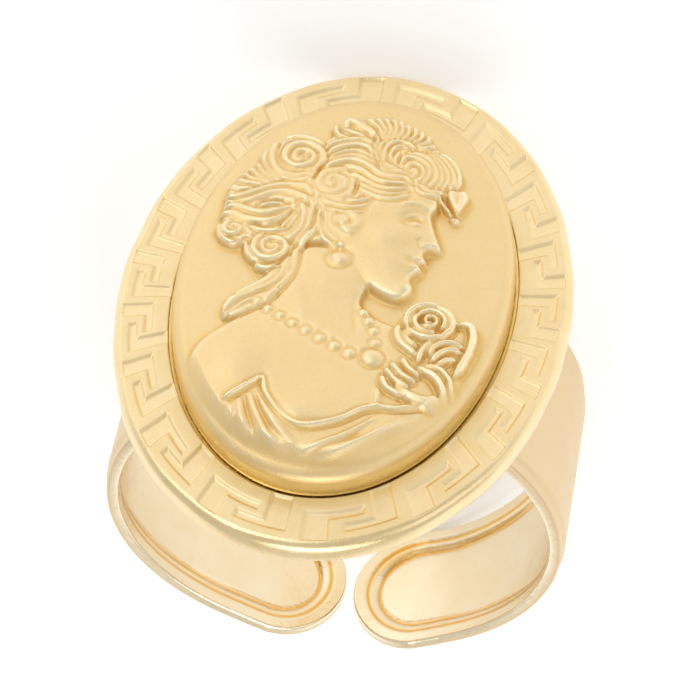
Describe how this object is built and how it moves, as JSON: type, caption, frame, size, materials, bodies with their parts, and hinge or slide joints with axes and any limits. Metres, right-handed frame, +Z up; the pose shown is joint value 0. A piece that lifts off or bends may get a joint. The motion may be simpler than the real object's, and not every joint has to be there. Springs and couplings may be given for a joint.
{
  "type": "adjustable ring",
  "caption": "Open-banded gold finger ring with an oval frame of running key, holding an oval relief plaque of a lady's bust.",
  "frame": {"origin": "middle of the ring's lowest level as it lies on its side, at floor height", "axes": "+Z is up from the floor; the plaque faces -Y and leans back from it; +X runs across the oval frame, towards the left of a viewer who looks at the plaque with the bust upright"},
  "size_m": [0.0192, 0.024, 0.0239],
  "materials": {
    "gold_setting": "polished and satin pale yellow gold",
    "gold_plaque": "satin pale yellow gold"
  },
  "bodies": {
    "root": {"setting": "gold_setting", "plaque": "gold_plaque"}
  },
  "joints": []
}
